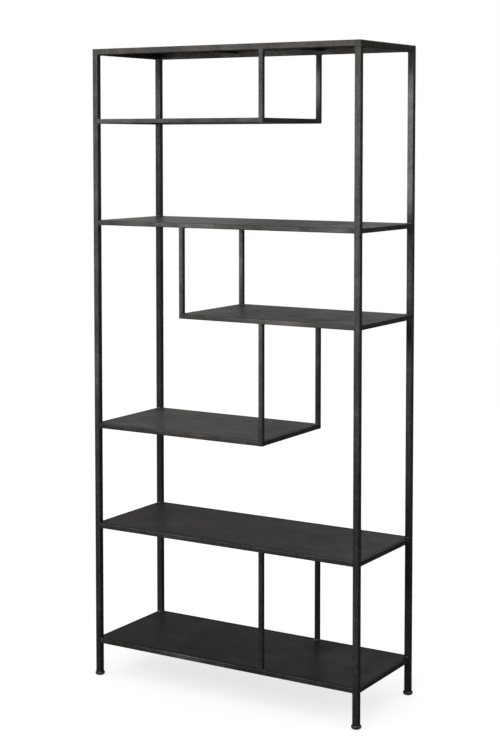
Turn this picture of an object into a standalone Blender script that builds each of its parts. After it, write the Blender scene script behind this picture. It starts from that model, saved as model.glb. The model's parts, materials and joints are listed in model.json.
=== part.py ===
"""Open steel bookcase: four tube posts, seven flush steel decks, short shelves hung on rods, and
screw-in levelling feet.

Metres, +Z up. +X is to the right seen from the front, and the front faces -Y.
The origin is the centre of the footprint, on the floor.
"""

import math

import bmesh
import bpy
from mathutils import Vector

# Overall size
HEIGHT = 1.900
WIDTH = 0.900
DEPTH = 0.345
GAP = 0.0003  # between pieces that touch

# Square tube: outer side, wall and outer corner radius
POST = 0.018
RAIL = 0.014
ROD = 0.014
WALL = 0.0015
CORNER = 0.0022
CORNER_SEGMENTS = 3
END_CAP = 0.002  # plate that closes a tube's visible end

# Sheet decks and the bars under the top one
DECK = 0.0012
STIFFENER = 0.006
STIFFENER_X = WIDTH / 6

# Outer face of the rods that carry a short shelf's free end
ROD_X = 0.142

# Levelling feet: a moulded pad that a threaded stud turns in
PAD_HEIGHT = 0.012
PAD_RADIUS = 0.0145
PAD_BULGE = 0.0062  # radius of the pad's rounded side
PAD_ARC_STEPS = 8
SOCKET_FLOOR = 0.0040
FLANGE_RADIUS = 0.0060
FLANGE_THICKNESS = 0.0024
STUD_RADIUS = 0.0040
STUD_TOP = 0.0380
STUD_CHAMFER = 0.0008
PLUG = 0.0120  # tapped plug in the post's lower end
TURN_STEPS = 24

# Shelf name: height of its top face, and what carries its left and right ends
SHELVES = {
    "upper_left_shelf": (1.692, "post", "rod"),
    "upper_full_shelf": (1.389, "post", "post"),
    "middle_right_shelf": (1.124, "rod", "post"),
    "middle_left_shelf": (0.775, "post", "rod"),
    "lower_full_shelf": (0.469, "post", "post"),
    "bottom_shelf": (0.114, "post", "post"),
}

# Colour, roughness and metallic of each finish
LOOKS = {
    "frame_steel": ((0.085, 0.080, 0.074), 0.42, 0.85),
    "deck_steel": ((0.100, 0.097, 0.092), 0.38, 0.85),
    "pad_plastic": ((0.045, 0.045, 0.045), 0.50, 0.00),
    "stud_zinc": ((0.480, 0.480, 0.470), 0.30, 1.00),
}

parts = None
cutters = None


def clear_scene():
    for obj in list(bpy.data.objects):
        bpy.data.objects.remove(obj)


def new_collection(name):
    collection = bpy.data.collections.new(name)
    bpy.context.scene.collection.children.link(collection)
    return collection


def finish_with(obj, look):
    """Give the piece a material of its own in one of the finishes."""
    colour, roughness, metallic = LOOKS[look]
    material = bpy.data.materials.new(obj.name)
    material.use_nodes = True
    shader = material.node_tree.nodes["Principled BSDF"]
    shader.inputs["Base Color"].default_value = (*colour, 1.0)
    shader.inputs["Roughness"].default_value = roughness
    shader.inputs["Metallic"].default_value = metallic
    obj.data.materials.append(material)


def box_object(name, size, collection, corner=0.0):
    """A box centred on its origin, its four edges along Z rounded by corner."""
    bm = bmesh.new()
    bmesh.ops.create_cube(bm, size=1.0)
    bmesh.ops.scale(bm, vec=Vector(size), verts=bm.verts)
    if corner:
        long_edges = [e for e in bm.edges if abs(e.verts[0].co.z - e.verts[1].co.z) > size[2] / 2]
        bmesh.ops.bevel(
            bm,
            geom=long_edges,
            offset=corner,
            segments=CORNER_SEGMENTS,
            profile=0.5,
            affect="EDGES",
        )
    mesh = bpy.data.meshes.new(name)
    bm.to_mesh(mesh)
    bm.free()
    obj = bpy.data.objects.new(name, mesh)
    collection.objects.link(obj)
    return obj


def cut(obj, cutter):
    """Take the cutter's shape out of the piece."""
    cutter.hide_render = True
    cutter.display_type = "WIRE"
    modifier = obj.modifiers.new("cut", "BOOLEAN")
    modifier.operation = "DIFFERENCE"
    modifier.solver = "EXACT"
    modifier.object = cutter


def square_tube(name, side, start, end, closed_start=0.0, closed_end=0.0):
    """Square tube along the line from start to end; an end is open, or closed by that thickness."""
    start = Vector(start)
    end = Vector(end)
    axis = (end - start).normalized()
    turn = axis.to_track_quat("Z", "Y")
    length = (end - start).length
    tube = box_object(name, (side, side, length), parts, CORNER)
    tube.location = (start + end) / 2
    tube.rotation_euler = turn.to_euler()

    overrun = side
    hollow_start = start + axis * (closed_start or -overrun)
    hollow_end = end - axis * (closed_end or -overrun)
    bore = side - 2 * WALL
    hollow = box_object(name + "_hollow", (bore, bore, (hollow_end - hollow_start).length), cutters)
    hollow.location = (hollow_start + hollow_end) / 2
    hollow.rotation_euler = turn.to_euler()
    cut(tube, hollow)
    finish_with(tube, "frame_steel")
    return tube


def turned(name, profile, look):
    """Solid of revolution about Z from (radius, height) points that start and end on the axis."""
    mesh = bpy.data.meshes.new(name)
    edges = [(i, i + 1) for i in range(len(profile) - 1)]
    mesh.from_pydata([(r, 0.0, z) for r, z in profile], edges, [])
    obj = bpy.data.objects.new(name, mesh)
    parts.objects.link(obj)
    screw = obj.modifiers.new("turn", "SCREW")
    screw.axis = "Z"
    screw.angle = 2 * math.pi
    screw.steps = TURN_STEPS
    screw.render_steps = TURN_STEPS
    screw.use_merge_vertices = True
    screw.merge_threshold = 0.00001
    screw.use_smooth_shade = True
    finish_with(obj, look)
    return obj


def sheet(name, outline, top, thickness):
    """Flat sheet with the given outline, its upper face at height top."""
    curve = bpy.data.curves.new(name, "CURVE")
    curve.dimensions = "2D"
    curve.fill_mode = "BOTH"
    curve.extrude = thickness / 2
    spline = curve.splines.new("POLY")
    spline.points.add(len(outline) - 1)
    for point, (x, y) in zip(spline.points, outline):
        point.co = (x, y, 0.0, 1.0)
    spline.use_cyclic_u = True
    obj = bpy.data.objects.new(name, curve)
    obj.location = (0.0, 0.0, top - thickness / 2)
    parts.objects.link(obj)
    finish_with(obj, "deck_steel")
    return obj


def notched_rectangle(x_low, x_high, y_low, y_high, notch_left, notch_right):
    """Outline, anticlockwise, with a square notch of the given side at each left and right corner."""
    outline = []
    corners = (
        (x_low, y_low, 1, 1, notch_left),
        (x_high, y_low, -1, 1, notch_right),
        (x_high, y_high, -1, -1, notch_right),
        (x_low, y_high, 1, -1, notch_left),
    )
    for x, y, to_middle_x, to_middle_y, notch in corners:
        if not notch:
            outline.append((x, y))
            continue
        inner_x = x + to_middle_x * notch
        inner_y = y + to_middle_y * notch
        steps = [(x, inner_y), (inner_x, inner_y), (inner_x, y)]
        if to_middle_x != to_middle_y:
            steps.reverse()
        outline.extend(steps)
    return outline


def shelf_ends(left, right):
    """Outer X of the shelf's two ends, and the side of the tube that carries each."""
    x_left = -WIDTH / 2 if left == "post" else -ROD_X
    x_right = WIDTH / 2 if right == "post" else ROD_X
    side_left = POST if left == "post" else ROD
    side_right = POST if right == "post" else ROD
    return x_left, x_right, side_left, side_right


def shelf(name, top, left, right, rail):
    """Four rails between the uprights, their outer faces flush with them, and a deck between them."""
    x_left, x_right, side_left, side_right = shelf_ends(left, right)
    z = top - rail / 2
    rail_x_low = x_left + side_left + GAP
    rail_x_high = x_right - side_right - GAP
    for end_name, sign in (("front", -1), ("back", 1)):
        y = sign * (DEPTH - rail) / 2
        square_tube(f"{name}_rail_{end_name}", rail, (rail_x_low, y, z), (rail_x_high, y, z))
    for end_name, x, side in (
        ("left", x_left + rail / 2, side_left),
        ("right", x_right - rail / 2, side_right),
    ):
        reach = DEPTH / 2 - side - GAP
        square_tube(f"{name}_rail_{end_name}", rail, (x, -reach, z), (x, reach, z))
    outline = notched_rectangle(
        x_left + rail + GAP,
        x_right - rail - GAP,
        -DEPTH / 2 + rail + GAP,
        DEPTH / 2 - rail - GAP,
        side_left - rail,
        side_right - rail,
    )
    sheet(f"{name}_deck", outline, top, DECK)


def rod_pair(name, x_outer, bottom, top, closed_bottom):
    """Front and back rods in the planes of the front and back rails."""
    x = x_outer - math.copysign(ROD / 2, x_outer)
    for end_name, sign in (("front", -1), ("back", 1)):
        y = sign * (DEPTH - ROD) / 2
        square_tube(f"{name}_{end_name}", ROD, (x, y, bottom), (x, y, top), closed_start=closed_bottom)


def posts():
    """Corner posts, capped at the top and plugged at the bottom, with a hole through the plug."""
    for side_name, x_sign in (("left", -1), ("right", 1)):
        for end_name, y_sign in (("front", -1), ("back", 1)):
            x = x_sign * (WIDTH - POST) / 2
            y = y_sign * (DEPTH - POST) / 2
            corner = f"{end_name}_{side_name}"
            post = square_tube(
                f"post_{corner}",
                POST,
                (x, y, PAD_HEIGHT),
                (x, y, HEIGHT),
                closed_start=PLUG,
                closed_end=END_CAP,
            )
            bpy.ops.mesh.primitive_cylinder_add(
                vertices=TURN_STEPS,
                radius=STUD_RADIUS + GAP,
                depth=3 * PLUG,
                location=(x, y, PAD_HEIGHT + PLUG / 2),
            )
            hole = bpy.context.active_object
            hole.name = f"plug_hole_{corner}"
            for collection in list(hole.users_collection):
                collection.objects.unlink(hole)
            cutters.objects.link(hole)
            cut(post, hole)
            foot(corner, x, y)


def foot(corner, x, y):
    """Pad with a captive threaded stud; both origins are on the stud's axis, at the floor."""
    pad_top = PAD_HEIGHT - GAP
    socket_top = SOCKET_FLOOR + FLANGE_THICKNESS + 2 * GAP
    arc_centre_z = PAD_HEIGHT / 2
    arc_start = math.asin((pad_top - arc_centre_z) / PAD_BULGE)
    arc_end = math.asin(-arc_centre_z / PAD_BULGE)
    rounded_side = []
    for i in range(PAD_ARC_STEPS + 1):
        angle = arc_start + (arc_end - arc_start) * i / PAD_ARC_STEPS
        radius = PAD_RADIUS - PAD_BULGE + PAD_BULGE * math.cos(angle)
        rounded_side.append((radius, arc_centre_z + PAD_BULGE * math.sin(angle)))
    pad_profile = [
        (0.0, SOCKET_FLOOR),
        (FLANGE_RADIUS + GAP, SOCKET_FLOOR),
        (FLANGE_RADIUS + GAP, socket_top),
        (STUD_RADIUS + GAP, socket_top),
        (STUD_RADIUS + GAP, pad_top),
        *rounded_side,
        (0.0, 0.0),
    ]
    pad = turned(f"foot_pad_{corner}", pad_profile, "pad_plastic")
    pad.location = (x, y, 0.0)

    flange_low = SOCKET_FLOOR + GAP
    flange_high = flange_low + FLANGE_THICKNESS
    stud_profile = [
        (0.0, STUD_TOP),
        (STUD_RADIUS - STUD_CHAMFER, STUD_TOP),
        (STUD_RADIUS, STUD_TOP - STUD_CHAMFER),
        (STUD_RADIUS, flange_high),
        (FLANGE_RADIUS, flange_high),
        (FLANGE_RADIUS, flange_low),
        (0.0, flange_low),
    ]
    stud = turned(f"foot_stud_{corner}", stud_profile, "stud_zinc")
    stud.location = (x, y, 0.0)


def top_frame():
    """Top deck in rails as deep as the posts, with two stiffener bars under it."""
    shelf("top", HEIGHT, "post", "post", POST)
    bar_length = DEPTH - 2 * POST - 2 * GAP
    for side_name, sign in (("left", -1), ("right", 1)):
        bar = box_object(f"top_stiffener_{side_name}", (STIFFENER, bar_length, STIFFENER), parts)
        bar.location = (sign * STIFFENER_X, 0.0, HEIGHT - DECK - GAP - STIFFENER / 2)
        finish_with(bar, "frame_steel")


def rods():
    """Hanger rods carry the short shelves' free ends; divider rods stand on the bottom shelf."""
    shelf_top = {name: values[0] for name, values in SHELVES.items()}
    rod_pair(
        "upper_left_hanger",
        ROD_X,
        shelf_top["upper_left_shelf"] - RAIL,
        HEIGHT - POST - GAP,
        END_CAP,
    )
    rod_pair(
        "middle_right_hanger",
        -ROD_X,
        shelf_top["middle_right_shelf"] - RAIL,
        shelf_top["upper_full_shelf"] - RAIL - GAP,
        END_CAP,
    )
    rod_pair(
        "middle_left_hanger",
        ROD_X,
        shelf_top["middle_left_shelf"] - RAIL,
        shelf_top["middle_right_shelf"] - RAIL - GAP,
        END_CAP,
    )
    rod_pair(
        "bottom_divider",
        ROD_X,
        shelf_top["bottom_shelf"] + GAP,
        shelf_top["lower_full_shelf"] - RAIL - GAP,
        0.0,
    )


clear_scene()
parts = new_collection("steel_bookcase")
cutters = new_collection("cutters")
posts()
top_frame()
for shelf_name, (shelf_height, left_end, right_end) in SHELVES.items():
    shelf(shelf_name, shelf_height, left_end, right_end, RAIL)
rods()
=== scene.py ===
import json
import math

import bmesh
import bpy
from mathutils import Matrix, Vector, noise


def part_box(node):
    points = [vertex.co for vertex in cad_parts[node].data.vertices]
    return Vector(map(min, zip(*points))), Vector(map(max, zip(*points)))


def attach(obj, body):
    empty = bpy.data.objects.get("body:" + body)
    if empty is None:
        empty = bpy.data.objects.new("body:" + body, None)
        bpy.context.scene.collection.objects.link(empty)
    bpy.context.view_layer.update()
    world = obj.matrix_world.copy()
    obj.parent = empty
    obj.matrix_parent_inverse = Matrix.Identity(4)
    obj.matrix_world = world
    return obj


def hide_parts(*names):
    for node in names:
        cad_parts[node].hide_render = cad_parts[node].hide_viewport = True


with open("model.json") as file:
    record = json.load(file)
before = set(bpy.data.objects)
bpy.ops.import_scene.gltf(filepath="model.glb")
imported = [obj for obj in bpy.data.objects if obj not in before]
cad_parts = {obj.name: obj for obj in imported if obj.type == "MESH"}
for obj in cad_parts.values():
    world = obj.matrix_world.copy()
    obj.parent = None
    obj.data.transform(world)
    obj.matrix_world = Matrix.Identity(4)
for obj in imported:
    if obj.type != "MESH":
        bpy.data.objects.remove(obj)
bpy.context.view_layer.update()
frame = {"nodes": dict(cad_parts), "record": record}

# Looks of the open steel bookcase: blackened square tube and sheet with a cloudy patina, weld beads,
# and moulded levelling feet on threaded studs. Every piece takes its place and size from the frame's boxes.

AXES = "xyz"
UP = Vector((0, 0, 1))
CLEARANCE = 0.0003  # the gap that the frame keeps between touching pieces
EMBED = 0.0002  # how far a sheet's rim goes into the rails
SHARP_ANGLE = math.radians(40)  # edges that turn further than this are shaded sharp

# Tube surface
CORNER_RADIUS = 0.0022
CORNER_STEPS = 6
THIN_CORNER = 0.4  # a thin bar's corner radius, as a share of half its width
END_RADIUS = 0.0008
END_STEPS = 3
END_CORNER = 0.0004  # the least corner radius on a rounded end
END_WEAR = 0.8
STRAIGHT_START = END_RADIUS * 1.2  # from a free end to the first ring of the tube's straight part
RING_SPACING = 0.05
RING_GAP = 0.0012  # rings closer together than this become one
HEAT_REACH = 0.030  # how far a weld's tint runs along a tube
HEAT_STEPS = 6
HEAT_FALL = 1.5  # how steeply the tint fades
HOLE_RADIUS = 0.0043
HOLE_DEPTH = 0.030

# Sheet decks
SHEET_CELL = 0.018
SHEET_DIP = 0.0005  # deepest hollow of the sheet's slow waves
SHEET_WAVES = (5.0, 6.5, 9.0)  # how quickly the waves change along x and y, and from deck to deck
SHEET_EDGE = 0.0004
RIM_DROP = SHEET_EDGE * 0.8
RIM_HEAT = 0.5
RIM_HEAT_REACH = 0.010
EDGE_STRIP = 0.060  # the sheet is flat at its rim and waves inside this strip

# Weld beads
BEAD_RADIUS = 0.0019
BEAD_OFFSET = 0.0003
BEAD_STEP = 0.0007
BEAD_SIDES = 8
BEND_STEPS = 4
TAPER_LENGTH = 1.5  # a bead tapers at its ends over this many radii
TAPER_LEAST = 0.04  # square of the end's share of the full radius
RIPPLE_PITCH = 0.0021
RIPPLE_DEPTH = 0.10
LUMP_SCALE = 150.0
LUMP_DEPTH = 0.16
COLLAR_REACH = 0.75  # how far a collar runs towards the outer face, as a share of half the tube
FLUSH_REACH = 0.7  # the same towards a side that is ground flush
TACK_RADIUS = 0.0014
TACK_LENGTH = 0.022
TACK_SPACING = 0.150

# Levelling feet
THREAD_PITCH = 0.00125
THREAD_DEPTH = 0.00062
THREAD_RADIUS = 0.0040
THREAD_STEPS = 8  # rings to a pitch
THREAD_SLOPE = 1.3  # steeper than a plain zigzag, so that crest and root are flat
THREAD_ROOT = 0.15
STUD_STEPS = 24
STUD_POINT = 0.0008  # length of the stud's bevelled tip
FLANGE_HEIGHT = 0.0024
FLANGE_BEVEL = 0.0003
TURN_STEPS = 64
PAD_ARC_STEPS = 18
PAD_ARC_REACH = 0.985  # the side's arc ends just short of the pad's top and bottom
PAD_BULGE = 0.43  # radius of that arc, as a share of the pad's radius
PAD_WIDEST = 0.51  # where the pad is widest, as a share of its height
PAD_EDGE = 0.0006
SOCKET_HEIGHT = 0.0027
SOCKET_CORNER = 0.0004

# Camera, at the photo's angle
CAMERA_PLACE = (2.4741, -4.0557, 1.6267)
CAMERA_YAW = math.radians(31.427)
CAMERA_PITCH = math.radians(-3.646)
CAMERA_LENS = 77.45
CAMERA_SHIFT_Y = -0.175

# Painted shade and painted highlights: stretches where the steel is painted darker or lighter than usual,
# (from, to, painted brightness), the first two in metres. On a tube they run along its length and show on
# its front face. On a shelf they run along X and show on its deck and on top of its rails.
TUBE_PAINTED_LIGHT = {
    "post_front_left": [
        (0.00, 0.17, 0.65), (0.88, 1.02, 1.50), (1.02, 1.17, 1.15), (1.56, 1.66, 1.20), (1.83, 1.90, 0.65),
    ],
    "post_front_right": [
        (0.00, 0.13, 0.80), (0.16, 0.38, 1.30), (0.80, 0.98, 1.20), (1.08, 1.46, 1.30), (1.58, 1.72, 1.40),
        (1.84, 1.90, 0.85),
    ],
    "post_back_left": [(0.48, 1.06, 0.67), (1.06, 1.68, 0.50), (1.81, 1.90, 0.50)],
    "post_back_right": [
        (0.00, 0.11, 0.65), (0.00, 0.28, 0.85), (0.28, 0.54, 0.40), (0.54, 0.64, 0.72), (1.035, 1.11, 0.05),
        (1.35, 1.385, 0.05), (1.42, 1.80, 2.20), (1.83, 1.90, 0.70),
    ],
    "top_rail_front": [(-0.45, -0.16, 0.76), (-0.16, -0.08, 0.45), (-0.08, 0.06, 0.85), (0.06, 0.29, 0.66)],
    "upper_left_shelf_rail_front": [(-0.45, -0.32, 1.40), (-0.20, -0.04, 0.60), (-0.04, 0.14, 0.80)],
    "upper_full_shelf_rail_front": [(-0.45, -0.34, 0.80), (-0.32, -0.08, 1.30), (0.32, 0.41, 1.60)],
    "middle_right_shelf_rail_front": [(-0.14, 0.00, 0.80), (0.16, 0.24, 1.70), (0.24, 0.41, 1.22)],
    "middle_left_shelf_rail_front": [(-0.45, -0.32, 0.73), (-0.22, -0.12, 0.82)],
    "lower_full_shelf_rail_front": [(-0.19, -0.11, 1.50)],
    "bottom_shelf_rail_front": [(-0.28, -0.16, 1.20), (-0.16, -0.04, 2.00), (0.04, 0.20, 0.75)],
    "upper_left_hanger_front": [(1.82, 1.90, 0.65)],
    "upper_left_hanger_back": [(1.67, 1.735, 0.25), (1.75, 1.81, 2.10), (1.85, 1.90, 0.60)],
    "middle_right_hanger_front": [(1.13, 1.24, 0.85), (1.30, 1.39, 1.40)],
    "middle_right_hanger_back": [(1.23, 1.33, 2.00), (1.33, 1.39, 1.30)],
    "middle_left_hanger_front": [(0.84, 1.10, 1.38)],
    "middle_left_hanger_back": [(0.77, 0.93, 0.68), (0.93, 1.04, 0.66), (1.04, 1.12, 0.40)],
    "bottom_divider_front": [(0.11, 0.30, 0.80), (0.30, 0.43, 1.20), (0.43, 0.47, 0.60)],
    "bottom_divider_back": [(0.11, 0.47, 0.75)],
}
SHELF_PAINTED_LIGHT = {
    "top": [(-0.45, 0.45, 0.85)],
    "upper_left_shelf": [(-0.45, 0.15, 0.85)],
    "upper_full_shelf": [(-0.45, 0.00, 0.50), (0.00, 0.45, 0.65)],
    "middle_right_shelf": [(-0.14, 0.12, 0.80), (0.12, 0.28, 0.64), (0.28, 0.45, 0.42)],
    "middle_left_shelf": [(-0.45, -0.20, 1.50), (-0.20, 0.00, 1.35), (0.00, 0.15, 1.10)],
    "lower_full_shelf": [(-0.45, -0.20, 0.85), (-0.20, 0.45, 0.68)],
    "bottom_shelf": [(-0.45, -0.20, 0.68), (-0.20, 0.15, 0.54), (0.15, 0.45, 0.45)],
}
PAINTED_LIGHT_FADE = 0.08  # length over which one painted brightness turns into the next
RAIL_TOP_PAINTED_SHADE = 0.42  # painted shade: a shelf's rails are painted darker on top than its deck

FLOOR_SIZE = 9.0
FLOOR_PAINT = 0.30
FLOOR_GLOW = 0.72  # lifts the shadow on the floor

# Light of the room that the steel reflects: (height of the direction, 0 down to 1 up; colour)
ROOM = [
    (0.00, (0.02, 0.02, 0.02)),
    (0.47, (0.02, 0.02, 0.02)),
    (0.50, (0.035, 0.035, 0.035)),
    (0.60, (0.035, 0.035, 0.035)),
    (0.64, (0.02, 0.02, 0.02)),
]
# Lit parts of that room: a side, how far along it and at what height the light starts and is full, colour
LIT_PARTS = {
    "floor": ((-0.53, -0.85, 0.0), (0.35, 0.80), (-0.14, -0.30), (0.19, 0.19, 0.19)),
    "ceiling": ((-0.53, 0.85, 0.0), (0.75, 0.30), (0.14, 0.42), (0.30, 0.30, 0.30)),
    "wall": ((0.58, 0.81, 0.0), (0.60, 0.90), (-0.24, -0.02), (0.10, 0.10, 0.10)),
}

# Softbox name: place, target, size and power
SOFTBOXES = {
    "front": ((0.8, -3.6, 2.8), (0.0, 0.0, 1.1), (2.0, 1.6), 50.0),
    "front_left_high": ((-1.86, -3.1, 2.03), (0.0, 0.0, 1.5), (1.4, 1.1), 6.8),
    "front_left_middle": ((-1.86, -3.1, 1.2), (0.0, 0.0, 1.1), (1.4, 0.9), 4.3),
    "front_left_low": ((-1.86, -3.1, 0.45), (0.0, 0.0, 0.5), (1.4, 0.7), 2.0),
    "front_left_near": ((-1.3, -1.5, 2.7), (0.0, 0.0, 1.6), (1.2, 1.0), 9.0),
    "back_left_near": ((-1.5, 1.6, 2.2), (0.0, 0.0, 1.1), (1.0, 0.8), 1.6),
    "back_left": ((-2.6, 3.9, 2.0), (0.0, 0.0, 1.2), (3.0, 2.0), 2.1),
    "back": ((-0.9, 3.8, 2.8), (0.0, 0.0, 1.0), (2.0, 1.4), 5.0),
    "left": ((-3.8, -1.0, 1.0), (0.0, 0.0, 1.0), (2.0, 1.6), 12.0),
    "right": ((3.9, -0.6, 1.6), (0.0, 0.0, 1.0), (2.6, 2.2), 22.0),
}


# ---------------------------------------------------------------- materials


def add_node(tree, kind, **settings):
    node = tree.nodes.new(kind)
    for key, value in settings.items():
        setattr(node, key, value)
    return node


def noise_of(tree, coordinates, scale, detail=3.0, roughness=0.5, distortion=0.0):
    """Noise texture's grey value."""
    node = add_node(tree, "ShaderNodeTexNoise")
    tree.links.new(coordinates, node.inputs["Vector"])
    node.inputs["Scale"].default_value = scale
    node.inputs["Detail"].default_value = detail
    node.inputs["Roughness"].default_value = roughness
    node.inputs["Distortion"].default_value = distortion
    return node.outputs["Fac"]


def stretched(tree, coordinates, scale, offset=(0.0, 0.0, 0.0)):
    """Coordinates scaled by their own amount along each axis, then moved by the offset."""
    node = add_node(tree, "ShaderNodeMapping")
    tree.links.new(coordinates, node.inputs["Vector"])
    node.inputs["Scale"].default_value = scale
    node.inputs["Location"].default_value = offset
    return node.outputs["Vector"]


def ramp(tree, value, stops):
    """Colour ramp through (position, colour) stops."""
    node = add_node(tree, "ShaderNodeValToRGB")
    tree.links.new(value, node.inputs["Fac"])
    elements = node.color_ramp.elements
    while len(elements) < len(stops):
        elements.new(0.5)
    for element, (position, colour) in zip(elements, stops):
        element.position = position
        element.color = (*colour, 1.0)
    return node.outputs["Color"]


def remap(tree, value, from_low, from_high, to_low, to_high):
    node = add_node(tree, "ShaderNodeMapRange")
    tree.links.new(value, node.inputs["Value"])
    node.inputs["From Min"].default_value = from_low
    node.inputs["From Max"].default_value = from_high
    node.inputs["To Min"].default_value = to_low
    node.inputs["To Max"].default_value = to_high
    return node.outputs["Result"]


def arithmetic(tree, operation, first, second):
    """Math node; each operand is a socket or a number."""
    node = add_node(tree, "ShaderNodeMath", operation=operation)
    for socket, operand in zip(node.inputs, (first, second)):
        if isinstance(operand, (int, float)):
            socket.default_value = operand
        else:
            tree.links.new(operand, socket)
    return node.outputs["Value"]


def mixed(tree, factor, first, second, blend="MIX"):
    """Colour mix; first and second are sockets or colours. A Mix node has sockets for every type of
    data; those used here are its factor and its two colours."""
    node = add_node(tree, "ShaderNodeMix", data_type="RGBA", blend_type=blend)
    factor_socket = node.inputs[0]
    for socket, operand in ((node.inputs[6], first), (node.inputs[7], second)):
        if isinstance(operand, tuple):
            socket.default_value = (*operand, 1.0)
        else:
            tree.links.new(operand, socket)
    if isinstance(factor, (int, float)):
        factor_socket.default_value = factor
    else:
        tree.links.new(factor, factor_socket)
    return node.outputs[2]


def tinted(colour, tint):
    return tuple(channel * share for channel, share in zip(colour, tint))


def attribute(tree, name):
    return add_node(tree, "ShaderNodeAttribute", attribute_name=name).outputs["Fac"]


def bump(tree, height, strength, distance, normal=None):
    node = add_node(tree, "ShaderNodeBump")
    tree.links.new(height, node.inputs["Height"])
    node.inputs["Strength"].default_value = strength
    node.inputs["Distance"].default_value = distance
    if normal:
        tree.links.new(normal, node.inputs["Normal"])
    return node.outputs["Normal"]


def blank_material(name):
    material = bpy.data.materials.new(name)
    material.use_nodes = True
    tree = material.node_tree
    shader = tree.nodes["Principled BSDF"]
    place = add_node(tree, "ShaderNodeTexCoord").outputs["Object"]
    return material, tree, shader, place


GRAIN_ALONG = 5.0
GRAIN_ACROSS = 260.0
RUSTED = (1.05, 0.84, 0.66)  # tint of the brown patches
HEATED = (1.35, 1.38, 1.42)  # tint by the welds
BARE_STEEL = (0.22, 0.205, 0.185)


def blackened_steel(name, grain, shades, tint, rough_low, rough_high, cloud_scale):
    """Waxed, blackened steel: cloudy patina, a faint rolled grain along one axis, brown patches,
    bare metal showing along worn corners, a blue-grey tint by the welds, and painted shade and painted
    highlights. Attributes say where: one for the painted brightness, one for wear and one for heat; the tint
    given here colours the brightest painted highlights."""
    dark, middle, light = shades
    material, tree, shader, place = blank_material(name)
    clouds = noise_of(tree, place, cloud_scale, detail=5.0, roughness=0.58, distortion=0.5)
    mottle = noise_of(tree, place, 70.0, detail=4.0, roughness=0.6)
    grain_scale = tuple(GRAIN_ALONG if axis == grain else GRAIN_ACROSS for axis in AXES)
    streaks = noise_of(tree, stretched(tree, place, grain_scale), 1.0, detail=2.0)

    colour = ramp(tree, clouds, [(0.34, dark), (0.50, middle), (0.66, light)])
    speckle = remap(tree, mottle, 0.3, 0.7, 0.80, 1.20)
    colour = mixed(tree, 1.0, colour, speckle, "MULTIPLY")
    line = remap(tree, streaks, 0.3, 0.7, 0.90, 1.10)
    colour = mixed(tree, 1.0, colour, line, "MULTIPLY")
    # painted shade and painted highlights: the colour is multiplied by the painted brightness, and its
    # brightest stretches take a highlight tint
    painted_light = attribute(tree, "painted_light")
    colour = mixed(tree, 1.0, colour, painted_light, "MULTIPLY")
    colour = mixed(tree, remap(tree, painted_light, 1.2, 2.2, 0.0, 1.0), colour, tint, "MULTIPLY")

    elsewhere = stretched(tree, place, (1, 1, 1), (3.1, 1.7, 5.3))
    brown_spots = noise_of(tree, elsewhere, 6.0, detail=6.0, roughness=0.65)
    brown = remap(tree, brown_spots, 0.52, 0.72, 0.0, 0.45)
    colour = mixed(tree, brown, colour, tinted(light, RUSTED))

    heat_patches = remap(tree, mottle, 0.35, 0.65, 0.25, 0.85)
    heat = arithmetic(tree, "MULTIPLY", attribute(tree, "heat"), heat_patches)
    colour = mixed(tree, heat, colour, tinted(light, HEATED))

    rub = noise_of(tree, place, 28.0, detail=5.0, roughness=0.7)
    rubbed_patches = remap(tree, rub, 0.48, 0.72, 0.0, 0.55)
    wear = arithmetic(tree, "MULTIPLY", attribute(tree, "wear"), rubbed_patches)
    colour = mixed(tree, wear, colour, BARE_STEEL)
    tree.links.new(colour, shader.inputs["Base Color"])

    rough = remap(tree, clouds, 0.3, 0.7, rough_high, rough_low)
    rough = arithmetic(tree, "ADD", rough, remap(tree, mottle, 0.3, 0.7, -0.05, 0.05))
    rough = arithmetic(tree, "ADD", rough, remap(tree, streaks, 0.3, 0.7, -0.03, 0.03))
    tree.links.new(rough, shader.inputs["Roughness"])
    shader.inputs["Metallic"].default_value = 0.96

    normal = bump(tree, streaks, 0.25, 0.00015)
    normal = bump(tree, mottle, 0.35, 0.00030, normal)
    tree.links.new(normal, shader.inputs["Normal"])
    return material


def weld_metal():
    """Bead metal: brushed clean and waxed, a little lighter than the tube, brownish where it is dark."""
    material, tree, shader, place = blank_material("weld_metal")
    blotch = noise_of(tree, place, 160.0, detail=4.0, roughness=0.6)
    shades = [(0.35, (0.11, 0.10, 0.09)), (0.55, (0.20, 0.195, 0.19)), (0.7, (0.33, 0.325, 0.32))]
    colour = ramp(tree, blotch, shades)
    tree.links.new(colour, shader.inputs["Base Color"])
    tree.links.new(remap(tree, blotch, 0.3, 0.7, 0.55, 0.36), shader.inputs["Roughness"])
    shader.inputs["Metallic"].default_value = 0.9
    tree.links.new(bump(tree, blotch, 0.4, 0.0003), shader.inputs["Normal"])
    return material


def moulded_plastic():
    """Dark grey nylon of the feet: a fine moulded grain, and paler scuffs that run round the foot."""
    material, tree, shader, place = blank_material("moulded_plastic")
    grain = noise_of(tree, place, 900.0, detail=2.0)
    scuffs = noise_of(tree, stretched(tree, place, (90, 90, 400)), 1.0, detail=4.0, roughness=0.65)
    shades = [
        (0.40, (0.0105, 0.0105, 0.0105)),
        (0.58, (0.016, 0.016, 0.0155)),
        (0.76, (0.040, 0.039, 0.037)),
    ]
    colour = ramp(tree, scuffs, shades)
    tree.links.new(colour, shader.inputs["Base Color"])
    tree.links.new(remap(tree, scuffs, 0.3, 0.7, 0.15, 0.34), shader.inputs["Roughness"])
    shader.inputs["Specular IOR Level"].default_value = 0.6
    normal = bump(tree, grain, 0.25, 0.0001)
    tree.links.new(bump(tree, scuffs, 0.3, 0.0002, normal), shader.inputs["Normal"])
    return material


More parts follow.
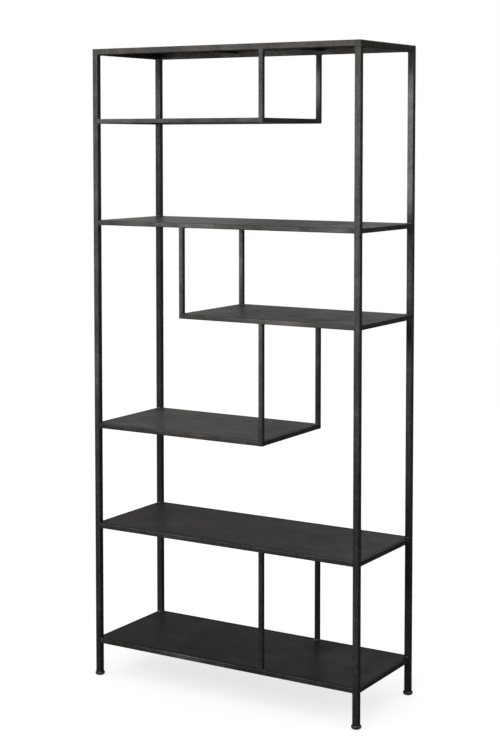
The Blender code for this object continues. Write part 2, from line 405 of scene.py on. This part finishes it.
def zinc_plate():
    """Bright zinc on the studs, with a dull, faintly yellow passivation."""
    material, tree, shader, place = blank_material("zinc_plate")
    film = noise_of(tree, place, 220.0, detail=4.0, roughness=0.6)
    shades = [(0.35, (0.36, 0.35, 0.32)), (0.55, (0.52, 0.52, 0.50)), (0.7, (0.62, 0.63, 0.64))]
    colour = ramp(tree, film, shades)
    tree.links.new(colour, shader.inputs["Base Color"])
    tree.links.new(remap(tree, film, 0.3, 0.7, 0.42, 0.26), shader.inputs["Roughness"])
    shader.inputs["Metallic"].default_value = 1.0
    tree.links.new(bump(tree, film, 0.2, 0.0001), shader.inputs["Normal"])
    return material


TUBE_SHADES = (0.080, 0.077, 0.073), (0.103, 0.099, 0.094), (0.135, 0.131, 0.127)
DECK_SHADES = (0.086, 0.085, 0.082), (0.105, 0.104, 0.101), (0.132, 0.130, 0.127)
BLUE_HIGHLIGHT_TINT = (0.95, 0.97, 1.07)  # blue-grey tint of a tube's painted highlights, where it is painted lightest
DECK_HIGHLIGHT_TINT = (1.00, 0.99, 0.97)  # the same on a deck
steel_along = {
    axis: blackened_steel(f"tube_steel_{axis}", axis, TUBE_SHADES, BLUE_HIGHLIGHT_TINT, 0.26, 0.42, 11.0)
    for axis in AXES
}
deck_steel = blackened_steel("deck_steel", "x", DECK_SHADES, DECK_HIGHLIGHT_TINT, 0.30, 0.48, 7.0)
weld_steel = weld_metal()
pad_plastic = moulded_plastic()
stud_zinc = zinc_plate()


# ---------------------------------------------------------------- mesh helpers


def smooth(share):
    """0 to 1 with an easy start and end, for any share."""
    share = min(1.0, max(0.0, share))
    return share * share * (3 - 2 * share)


def painted_light_at(place, stretches):
    """Painted brightness at a place along the stretches, for painted shade and painted highlights; it is 1
    outside them.
    """
    painted_light = 1.0
    for start, end, level in stretches:
        rise = smooth((place - start) / PAINTED_LIGHT_FADE + 0.5)
        fall = smooth((end - place) / PAINTED_LIGHT_FADE + 0.5)
        painted_light += (level - 1.0) * rise * fall
    return painted_light


def paint_light_on_faces(mesh, node):
    """Write painted shade and painted highlights, as a painted brightness, on the faces that look forward or
    up; the others keep 1.
    """
    along_tube = TUBE_PAINTED_LIGHT.get(node, ())
    along_shelf = next((tones for shelf, tones in SHELF_PAINTED_LIGHT.items() if node.startswith(shelf)), ())
    top_level = RAIL_TOP_PAINTED_SHADE if "_shelf_rail_" in node else 1.0
    points = [v.co for v in mesh.vertices]
    spans = [max(p[i] for p in points) - min(p[i] for p in points) for i in range(3)]
    length_axis = spans.index(max(spans))
    painted_light = mesh.attributes.new("painted_light", "FLOAT", "CORNER")
    for face in mesh.polygons:
        forward = max(0.0, -face.normal.y)
        upward = max(0.0, face.normal.z)
        for corner in face.loop_indices:
            point = points[mesh.loops[corner].vertex_index]
            front_painted_light = painted_light_at(point[length_axis], along_tube)
            top_painted_light = top_level * painted_light_at(point.x, along_shelf)
            painted_light.data[corner].value = 1.0 + (front_painted_light - 1.0) * forward + (top_painted_light - 1.0) * upward


def piece_from(bm, name, material, body, replaced=None, weighted=True):
    """Turn a bmesh into a shaded piece that rides on a body."""
    bmesh.ops.recalc_face_normals(bm, faces=bm.faces)
    mesh = bpy.data.meshes.new(name)
    bm.to_mesh(mesh)
    bm.free()
    mesh.shade_smooth()
    mesh.set_sharp_from_angle(angle=SHARP_ANGLE)
    mesh.materials.append(material)
    paint_light_on_faces(mesh, replaced or name)
    obj = bpy.data.objects.new(name, mesh)
    bpy.context.scene.collection.objects.link(obj)
    if weighted:
        modifier = obj.modifiers.new("even_shading", "WEIGHTED_NORMAL")
        modifier.keep_sharp = True
    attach(obj, body)
    if replaced:
        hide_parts(replaced)


def bridge(bm, lower, upper):
    """Quads between two rings with the same number of vertices."""
    count = len(lower)
    for i in range(count):
        j = (i + 1) % count
        bm.faces.new((lower[i], lower[j], upper[j], upper[i]))


def rounded_square(half, radius, steps):
    """Points of a rounded square, each with its way from the flats (0) to its corner's middle (1)."""
    points = []
    flat = half - radius
    for quarter in range(4):
        start = quarter * math.pi / 2
        centre = Vector((flat, 0)) if quarter in (0, 3) else Vector((-flat, 0))
        centre.y = flat if quarter in (0, 1) else -flat
        for step in range(steps + 1):
            share = step / steps
            angle = start + share * math.pi / 2
            points.append(
                (
                    centre.x + radius * math.cos(angle),
                    centre.y + radius * math.sin(angle),
                    1.0 - abs(2.0 * share - 1.0),
                )
            )
    return points


def circle_like(points, radius):
    """Points on a circle, at the same angles as the given ones."""
    ring = []
    for a, b, _ in points:
        angle = math.atan2(b, a)
        ring.append((radius * math.cos(angle), radius * math.sin(angle), 0.0))
    return ring


# ---------------------------------------------------------------- tubes


def tube_axis(low, high):
    size = high - low
    return max(range(3), key=lambda i: size[i])


def touches(first, second):
    """Whether two boxes meet, within the clearance that the frame keeps."""
    reach = 2 * CLEARANCE
    return all(
        first[0][i] - reach < second[1][i] and second[0][i] - reach < first[1][i] for i in range(3)
    )


def joint_places(node, axis, boxes):
    """Where other tubes meet this one, along its axis."""
    own = boxes[node]
    places = []
    for other, box in boxes.items():
        if other != node and tube_axis(*box) != axis and touches(own, box):
            low = max(own[0][axis], box[0][axis])
            high = min(own[1][axis], box[1][axis])
            places.append((low + high) / 2)
    return places


def ring_positions(low, high, places):
    """Stations along a tube, close together near its welds, with the weld tint at each."""
    stations = {low, high}
    for place in places:
        for k in range(-HEAT_STEPS, HEAT_STEPS + 1):
            stations.add(place + HEAT_REACH * k / HEAT_STEPS)
    count = max(2, round((high - low) / RING_SPACING))
    for k in range(count + 1):
        stations.add(low + (high - low) * k / count)
    kept = []
    for place in sorted(s for s in stations if low <= s <= high):
        if not kept or place - kept[-1] > RING_GAP:
            kept.append(place)
    if high - kept[-1] < RING_GAP:
        kept[-1] = high
    else:
        kept.append(high)
    tint = []
    for place in kept:
        near = min((abs(place - p) for p in places), default=HEAT_REACH)
        tint.append(max(0.0, 1.0 - near / HEAT_REACH) ** HEAT_FALL)
    return list(zip(kept, tint))


def end_arc(end, inward, half):
    """(place, points) of the rings that round a ground end, from the end face to the full width."""
    rings = []
    for k in range(END_STEPS + 1):
        angle = math.pi / 2 * k / END_STEPS
        inset = END_RADIUS * (1 - math.sin(angle))
        place = end + inward * END_RADIUS * (1 - math.cos(angle))
        radius = max(CORNER_RADIUS - inset, END_CORNER)
        rings.append((place, rounded_square(half - inset, radius, CORNER_STEPS)))
    return rings


def tube_piece(node, boxes, free_low, free_high, hole=False):
    """A square tube in place of the frame's plain one: rounder corners, ground ends, weld tint.
    A free end is rounded over. A butted end goes into its neighbour, so that it fills the notch that
    the neighbour's rounded corner would leave in a joint ground flush."""
    low, high = boxes[node]
    axis = tube_axis(low, high)
    first = (axis + 1) % 3
    second = (axis + 2) % 3
    centre = (low + high) / 2
    half = (high[first] - low[first]) / 2
    start = low[axis] if free_low else low[axis] - CLEARANCE - CORNER_RADIUS
    stop = high[axis] if free_high else high[axis] + CLEARANCE + CORNER_RADIUS
    section = rounded_square(half, min(CORNER_RADIUS, half * THIN_CORNER), CORNER_STEPS)

    bm = bmesh.new()
    wear_layer = bm.verts.layers.float.new("wear")
    heat_layer = bm.verts.layers.float.new("heat")

    def ring(place, points, heat, wear_all=0.0):
        vertices = []
        for a, b, wear in points:
            position = Vector((0, 0, 0))
            position[axis] = place
            position[first] = centre[first] + a
            position[second] = centre[second] + b
            vertex = bm.verts.new(position)
            vertex[wear_layer] = max(wear, wear_all)
            vertex[heat_layer] = heat
            vertices.append(vertex)
        return vertices

    rings = []
    if hole:
        bore = circle_like(section, HOLE_RADIUS)
        rings.append(ring(start + HOLE_DEPTH, bore, 0.0))
        rings.append(ring(start, bore, 0.0))
    if free_low:
        for place, points in end_arc(start, 1, half):
            rings.append(ring(place, points, 0.0, wear_all=END_WEAR))
    body_low = start + STRAIGHT_START if free_low else start
    body_high = stop - STRAIGHT_START if free_high else stop
    for place, heat in ring_positions(body_low, body_high, joint_places(node, axis, boxes)):
        rings.append(ring(place, section, heat))
    if free_high:
        for place, points in reversed(end_arc(stop, -1, half)):
            rings.append(ring(place, points, 0.0, wear_all=END_WEAR))
    for lower, upper in zip(rings, rings[1:]):
        bridge(bm, lower, upper)
    bm.faces.new(rings[0])
    bm.faces.new(rings[-1])
    piece_from(bm, f"{node}_tube", steel_along[AXES[axis]], "frame", node)


tube_nodes = [
    n for n in frame["record"]["behaviour"]["bodies"]["frame"] if not n.endswith("_deck")
]
tube_boxes = {node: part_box(node) for node in tube_nodes}
for tube_node in tube_nodes:
    is_post = tube_node.startswith("post_")
    is_hanger = "_hanger_" in tube_node
    tube_piece(tube_node, tube_boxes, free_low=is_post or is_hanger, free_high=is_post, hole=is_post)


# ---------------------------------------------------------------- decks


def grid_lines(low, high):
    """Places of the sheet's mesh lines: even cells between two fine strips at the rim."""
    inner_low = low + SHEET_EDGE
    inner_high = high - SHEET_EDGE
    count = max(2, round((inner_high - inner_low) / SHEET_CELL))
    middle = [inner_low + (inner_high - inner_low) * k / count for k in range(count + 1)]
    return [low, *middle, high]


def deck_piece(node):
    """Sheet that dips slightly between its welds, with its rim dressed down where it meets the rails."""
    low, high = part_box(node)
    reach = CLEARANCE + EMBED
    xs = grid_lines(low.x - reach, high.x + reach)
    ys = grid_lines(low.y - reach, high.y + reach)
    thickness = high.z - low.z
    bm = bmesh.new()
    heat_layer = bm.verts.layers.float.new("heat")
    upper = {}
    lower = {}
    for i, x in enumerate(xs):
        for j, y in enumerate(ys):
            on_rim = i in (0, len(xs) - 1) or j in (0, len(ys) - 1)
            edge = min(x - xs[0], xs[-1] - x, y - ys[0], ys[-1] - y)
            spot = [place * scale for place, scale in zip((x, y, high.z), SHEET_WAVES)]
            wave = 0.5 + 0.5 * noise.noise(Vector(spot))
            dip = SHEET_DIP * wave * smooth(edge / EDGE_STRIP)
            drop = RIM_DROP if on_rim else 0.0
            upper[i, j] = bm.verts.new((x, y, high.z - (dip + drop)))
            lower[i, j] = bm.verts.new((x, y, high.z - thickness - dip))
            tint = max(0.0, 1.0 - edge / RIM_HEAT_REACH) * RIM_HEAT
            upper[i, j][heat_layer] = tint
            lower[i, j][heat_layer] = tint
    last_i = len(xs) - 1
    last_j = len(ys) - 1
    for i in range(last_i):
        for j in range(last_j):
            bm.faces.new((upper[i, j], upper[i + 1, j], upper[i + 1, j + 1], upper[i, j + 1]))
            bm.faces.new((lower[i, j], lower[i, j + 1], lower[i + 1, j + 1], lower[i + 1, j]))
    for i in range(last_i):
        for j in (0, last_j):
            bm.faces.new((upper[i, j], upper[i + 1, j], lower[i + 1, j], lower[i, j]))
    for j in range(last_j):
        for i in (0, last_i):
            bm.faces.new((upper[i, j], upper[i, j + 1], lower[i, j + 1], lower[i, j]))
    piece_from(bm, f"{node}_sheet", deck_steel, "frame", node)


deck_nodes = [n for n in frame["nodes"] if n.endswith("_deck")]
for deck_node in sorted(deck_nodes):
    deck_piece(deck_node)


# ---------------------------------------------------------------- welds


def add_bead(bm, points, out, radius):
    """Rippled bead along a dense path; out is a direction square to the whole path."""
    rings = []
    length = 0.0
    total = sum((b - a).length for a, b in zip(points, points[1:]))
    for i, point in enumerate(points):
        if i:
            length += (point - points[i - 1]).length
        before = points[max(i - 1, 0)]
        after = points[min(i + 1, len(points) - 1)]
        across = (after - before).normalized().cross(out)
        to_end = min(length, total - length)
        taper = math.sqrt(max(TAPER_LEAST, min(1.0, to_end / (TAPER_LENGTH * radius))))
        ripple = 1.0 + RIPPLE_DEPTH * math.sin(2 * math.pi * length / RIPPLE_PITCH)
        lump = 1.0 + LUMP_DEPTH * noise.noise(point * LUMP_SCALE)
        size = radius * taper * ripple * lump
        rings.append(
            [
                bm.verts.new(
                    point
                    + out * size * math.cos(2 * math.pi * k / BEAD_SIDES)
                    + across * size * math.sin(2 * math.pi * k / BEAD_SIDES)
                )
                for k in range(BEAD_SIDES)
            ]
        )
    for lower, upper in zip(rings, rings[1:]):
        bridge(bm, lower, upper)
    bm.faces.new(rings[0])
    bm.faces.new(rings[-1])


def dense(corners, radius):
    """Path through the corners with rounded turns, sampled evenly enough for ripples."""
    path = []
    for i, corner in enumerate(corners):
        if 0 < i < len(corners) - 1:
            to_before = (corners[i - 1] - corner).normalized()
            to_after = (corners[i + 1] - corner).normalized()
            for k in range(BEND_STEPS + 1):
                share = k / BEND_STEPS
                first = corner + to_before * radius * (1 - share)
                second = corner + to_after * radius * share
                path.append(first.lerp(second, share))
        else:
            path.append(corner)
    sampled = [path[0]]
    for point in path[1:]:
        gap = point - sampled[-1]
        count = max(1, round(gap.length / BEAD_STEP))
        start = sampled[-1]
        for k in range(1, count + 1):
            sampled.append(start + gap * k / count)
    return sampled


def collar(bm, centre, away, inner, side, half, plus=True, minus=True):
    """Bead round a tube's butted end: along its +side face, its inner face and its -side face. The
    outer face is ground flush, and so is a side that is left out."""
    line = half + BEAD_OFFSET
    at = centre + away * BEAD_OFFSET
    outermost = -half * COLLAR_REACH
    corners = []
    if plus:
        corners.append(at + inner * outermost + side * line)
    corners.append(at + inner * line + side * (line if plus else half * FLUSH_REACH))
    corners.append(at + inner * line - side * (line if minus else half * FLUSH_REACH))
    if minus:
        corners.append(at + inner * outermost - side * line)
    add_bead(bm, dense(corners, CORNER_RADIUS), away, BEAD_RADIUS)


def ends_of(node):
    """(centre of the end face, direction into the tube) of both ends, grown over the clearance."""
    low, high = tube_boxes[node]
    axis = tube_axis(low, high)
    centre = (low + high) / 2
    into = Vector((0, 0, 0))
    into[axis] = 1.0
    first = centre.copy()
    last = centre.copy()
    first[axis] = low[axis] - CLEARANCE
    last[axis] = high[axis] + CLEARANCE
    return (first, into), (last, -into)


def inward(node, centre_x):
    """Direction from a tube's ground outer face towards the middle of its shelf."""
    if node.endswith("_front"):
        return Vector((0, 1, 0))
    if node.endswith("_back"):
        return Vector((0, -1, 0))
    low, high = tube_boxes[node]
    return Vector((math.copysign(1.0, centre_x - (low.x + high.x) / 2), 0, 0))


def hanger_at(rail, centre):
    """Whether a hanger comes down to the underside of a rail close to one of the rail's ends."""
    low, high = tube_boxes[rail]
    reach = 3 * (high.z - low.z) / 2
    for other, box in tube_boxes.items():
        as_low = abs(box[0].z - low.z) < CLEARANCE
        if "_hanger_" in other and as_low and touches(box, (low, high)) and (box[0] - centre).length < reach:
            return True
    return False


def tack_row(bm, low, high, axis, beside, z):
    """Evenly spaced tacks along one axis of a deck, at a place on its other axis."""
    span = high[axis] - low[axis]
    count = round(span / TACK_SPACING)
    for k in range(count):
        middle = low[axis] + span * (k + 0.5) / count
        ends = []
        for side in (-1, 1):
            end = Vector((beside, beside, z))
            end[axis] = middle + side * TACK_LENGTH / 2
            ends.append(end)
        add_bead(bm, dense(ends, CORNER_RADIUS), UP, TACK_RADIUS)


def shelf_welds(shelf):
    """Collars on the shelf's rails, and tacks along the deck's underside."""
    bm = bmesh.new()
    deck_low, deck_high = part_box(f"{shelf}_deck")
    middle_x = (deck_low.x + deck_high.x) / 2
    has_upper_bead = shelf != "top"
    for end in ("front", "back", "left", "right"):
        node = f"{shelf}_rail_{end}"
        low, high = tube_boxes[node]
        half = (high.z - low.z) / 2
        for centre, away in ends_of(node):
            has_lower_bead = not hanger_at(node, centre)
            inner = inward(node, middle_x)
            collar(bm, centre, away, inner, UP, half, plus=has_upper_bead, minus=has_lower_bead)
    tack_z = deck_low.z - TACK_RADIUS / 2
    for y in (deck_low.y + BEAD_OFFSET, deck_high.y - BEAD_OFFSET):
        tack_row(bm, deck_low, deck_high, 0, y, tack_z)
    for x in (deck_low.x + BEAD_OFFSET, deck_high.x - BEAD_OFFSET):
        tack_row(bm, deck_low, deck_high, 1, x, tack_z)
    piece_from(bm, f"{shelf}_welds", weld_steel, "frame", weighted=False)


def rod_welds(group):
    """Collars on each butted end of a pair of rods; a hanger's lower end is ground flush."""
    bm = bmesh.new()
    for end in ("front", "back"):
        node = f"{group}_{end}"
        low, high = tube_boxes[node]
        half = (high.x - low.x) / 2
        ends = ends_of(node)
        butted = ends[1:] if "_hanger" in group else ends
        for centre, away in butted:
            collar(bm, centre, away, inward(node, 0.0), Vector((1, 0, 0)), half)
    piece_from(bm, f"{group}_welds", weld_steel, "frame", weighted=False)


for deck_node in sorted(deck_nodes):
    shelf_welds(deck_node.removesuffix("_deck"))
rod_nodes = [n for n in tube_nodes if "_hanger_" in n or "_divider_" in n]
for rod_group in sorted({n.rsplit("_", 1)[0] for n in rod_nodes}):
    rod_welds(rod_group)


# ---------------------------------------------------------------- levelling feet


def round_ring(bm, centre, radii, z):
    """Ring of vertices about an upright axis, with a radius for each of them."""
    vertices = []
    for k, radius in enumerate(radii):
        angle = 2 * math.pi * k / len(radii)
        vertices.append(
            bm.verts.new((centre.x + radius * math.cos(angle), centre.y + radius * math.sin(angle), z))
        )
    return vertices


def turned(bm, profile, centre):
    """Closed solid of revolution from (radius, height) points that start and end on the axis."""
    rings = [round_ring(bm, centre, [radius] * TURN_STEPS, z) for radius, z in profile[1:-1]]
    for lower, upper in zip(rings, rings[1:]):
        bridge(bm, lower, upper)
    for ring, (_, z) in ((rings[0], profile[0]), (rings[-1], profile[-1])):
        pole = bm.verts.new((centre.x, centre.y, z))
        for i in range(TURN_STEPS):
            bm.faces.new((ring[i], ring[(i + 1) % TURN_STEPS], pole))


def pad_piece(corner):
    """Moulded pad: a bulging side, and a socket in its top that holds the stud's flange."""
    node = f"foot_pad_{corner}"
    low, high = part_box(node)
    stud_low, stud_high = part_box(f"foot_stud_{corner}")
    centre = (low + high) / 2
    radius = (high.x - low.x) / 2
    height = high.z
    flange = (stud_high.x - stud_low.x) / 2 + CLEARANCE
    mouth = HOLE_RADIUS
    bulge = radius * PAD_BULGE
    middle = height * PAD_WIDEST
    arc_high = math.asin((height - middle) / bulge * PAD_ARC_REACH)
    arc_low = math.asin(-middle / bulge * PAD_ARC_REACH)
    side = []
    for i in range(PAD_ARC_STEPS + 1):
        angle = arc_high + (arc_low - arc_high) * i / PAD_ARC_STEPS
        side.append((radius - bulge + bulge * math.cos(angle), middle + bulge * math.sin(angle)))
    socket_floor = stud_low.z - CLEARANCE
    socket_top = stud_low.z + SOCKET_HEIGHT
    profile = [
        (0.0, socket_floor),
        (flange - SOCKET_CORNER, socket_floor),
        (flange, socket_floor + SOCKET_CORNER),
        (flange, socket_top),
        (mouth, socket_top),
        (mouth, height - PAD_EDGE),
        (mouth + PAD_EDGE, height),
        *side,
        (side[-1][0] - PAD_EDGE, 0.0),
        (0.0, 0.0),
    ]
    bm = bmesh.new()
    turned(bm, profile, centre)
    piece_from(bm, f"{node}_moulding", pad_plastic, f"pad_{corner}", node)


def thread_radius(z, k, fade):
    """Radius of a right-hand thread at a height and at step k of a turn; fade takes its height away."""
    phase = (z / THREAD_PITCH - k / STUD_STEPS) % 1.0
    zigzag = 1.0 - abs(2.0 * phase - 1.0)
    flattened = min(1.0, max(0.0, zigzag * THREAD_SLOPE - THREAD_ROOT))
    return THREAD_RADIUS - THREAD_DEPTH * (1.0 - flattened * fade)


def stud_piece(corner):
    """Right-hand threaded stud with the flange that the pad holds."""
    node = f"foot_stud_{corner}"
    low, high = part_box(node)
    centre = (low + high) / 2
    flange = (high.x - low.x) / 2
    flange_top = low.z + FLANGE_HEIGHT
    core = THREAD_RADIUS - THREAD_DEPTH
    rings = [
        ([flange - FLANGE_BEVEL] * STUD_STEPS, low.z),
        ([flange] * STUD_STEPS, low.z + FLANGE_BEVEL),
        ([flange] * STUD_STEPS, flange_top),
        ([core] * STUD_STEPS, flange_top),
    ]
    thread_low = flange_top + THREAD_PITCH
    thread_high = high.z - THREAD_PITCH
    count = round((thread_high - thread_low) / THREAD_PITCH * THREAD_STEPS)
    for i in range(count + 1):
        z = thread_low + (thread_high - thread_low) * i / count
        fade = min(1.0, i / THREAD_STEPS, (count - i) / THREAD_STEPS)
        rings.append(([thread_radius(z, k, fade) for k in range(STUD_STEPS)], z))
    rings.append(([core] * STUD_STEPS, high.z - STUD_POINT))
    rings.append(([core - THREAD_DEPTH] * STUD_STEPS, high.z))

    bm = bmesh.new()
    loops = [round_ring(bm, centre, radii, z) for radii, z in rings]
    for lower, upper in zip(loops, loops[1:]):
        bridge(bm, lower, upper)
    bm.faces.new(loops[0])
    bm.faces.new(loops[-1])
    piece_from(bm, f"{node}_thread", stud_zinc, f"stud_{corner}", node, weighted=False)


for foot_corner in ("front_left", "front_right", "back_left", "back_right"):
    pad_piece(foot_corner)
    stud_piece(foot_corner)


# ---------------------------------------------------------------- floor, light and camera


def make_floor():
    bm = bmesh.new()
    bmesh.ops.create_grid(bm, x_segments=1, y_segments=1, size=FLOOR_SIZE)
    mesh = bpy.data.meshes.new("floor")
    bm.to_mesh(mesh)
    bm.free()
    floor = bpy.data.objects.new("floor", mesh)
    bpy.context.scene.collection.objects.link(floor)
    material = bpy.data.materials.new("floor_paint")
    material.use_nodes = True
    shader = material.node_tree.nodes["Principled BSDF"]
    shader.inputs["Base Color"].default_value = (FLOOR_PAINT, FLOOR_PAINT, FLOOR_PAINT, 1.0)
    shader.inputs["Roughness"].default_value = 0.9
    shader.inputs["Specular IOR Level"].default_value = 0.1
    shader.inputs["Emission Color"].default_value = (1.0, 1.0, 1.0, 1.0)
    shader.inputs["Emission Strength"].default_value = FLOOR_GLOW
    mesh.materials.append(material)
    floor.visible_glossy = False


def pointing(tree, direction, side):
    """How far a direction points to one side, -1 to 1."""
    node = add_node(tree, "ShaderNodeVectorMath", operation="DOT_PRODUCT")
    tree.links.new(direction, node.inputs[0])
    node.inputs[1].default_value = side
    return node.outputs["Value"]


def softbox(name, place, target, size, power):
    data = bpy.data.lights.new(name, "AREA")
    data.shape = "RECTANGLE"
    data.size, data.size_y = size
    data.energy = power
    light = bpy.data.objects.new(name, data)
    bpy.context.scene.collection.objects.link(light)
    light.location = place
    light.rotation_euler = (Vector(target) - Vector(place)).to_track_quat("-Z", "Y").to_euler()


def studio():
    """White backdrop for the camera, dim grey surroundings for the steel, and large soft lights."""
    world = bpy.data.worlds.new("studio")
    bpy.context.scene.world = world
    world.use_nodes = True
    tree = world.node_tree
    tree.nodes.clear()
    output = add_node(tree, "ShaderNodeOutputWorld")
    seen = add_node(tree, "ShaderNodeBackground")
    seen.inputs["Color"].default_value = (1.0, 1.0, 1.0, 1.0)
    seen.inputs["Strength"].default_value = 1.0
    path = add_node(tree, "ShaderNodeLightPath")
    room = add_node(tree, "ShaderNodeBackground")
    direction = add_node(tree, "ShaderNodeTexCoord").outputs["Generated"]
    height = add_node(tree, "ShaderNodeSeparateXYZ")
    tree.links.new(direction, height.inputs["Vector"])
    room_light = ramp(tree, remap(tree, height.outputs["Z"], -1.0, 1.0, 0.0, 1.0), ROOM)
    for side, reach, rise, colour in LIT_PARTS.values():
        across = remap(tree, pointing(tree, direction, side), *reach, 0.0, 1.0)
        upward = remap(tree, height.outputs["Z"], *rise, 0.0, 1.0)
        room_light = mixed(tree, arithmetic(tree, "MULTIPLY", across, upward), room_light, colour)
    tree.links.new(room_light, room.inputs["Color"])
    reflected = add_node(tree, "ShaderNodeMixShader")
    tree.links.new(path.outputs["Is Glossy Ray"], reflected.inputs["Fac"])
    tree.links.new(seen.outputs["Background"], reflected.inputs[1])
    tree.links.new(room.outputs["Background"], reflected.inputs[2])
    tree.links.new(reflected.outputs["Shader"], output.inputs["Surface"])

    for name, (place, target, size, power) in SOFTBOXES.items():
        softbox(name, place, target, size, power)
    bpy.context.scene.view_settings.view_transform = "Standard"


def camera():
    data = bpy.data.cameras.new("camera")
    data.lens = CAMERA_LENS
    data.shift_y = CAMERA_SHIFT_Y
    obj = bpy.data.objects.new("camera", data)
    bpy.context.scene.collection.objects.link(obj)
    obj.location = CAMERA_PLACE
    obj.rotation_euler = (math.pi / 2 + CAMERA_PITCH, 0.0, CAMERA_YAW)
    bpy.context.scene.camera = obj


make_floor()
studio()
camera()
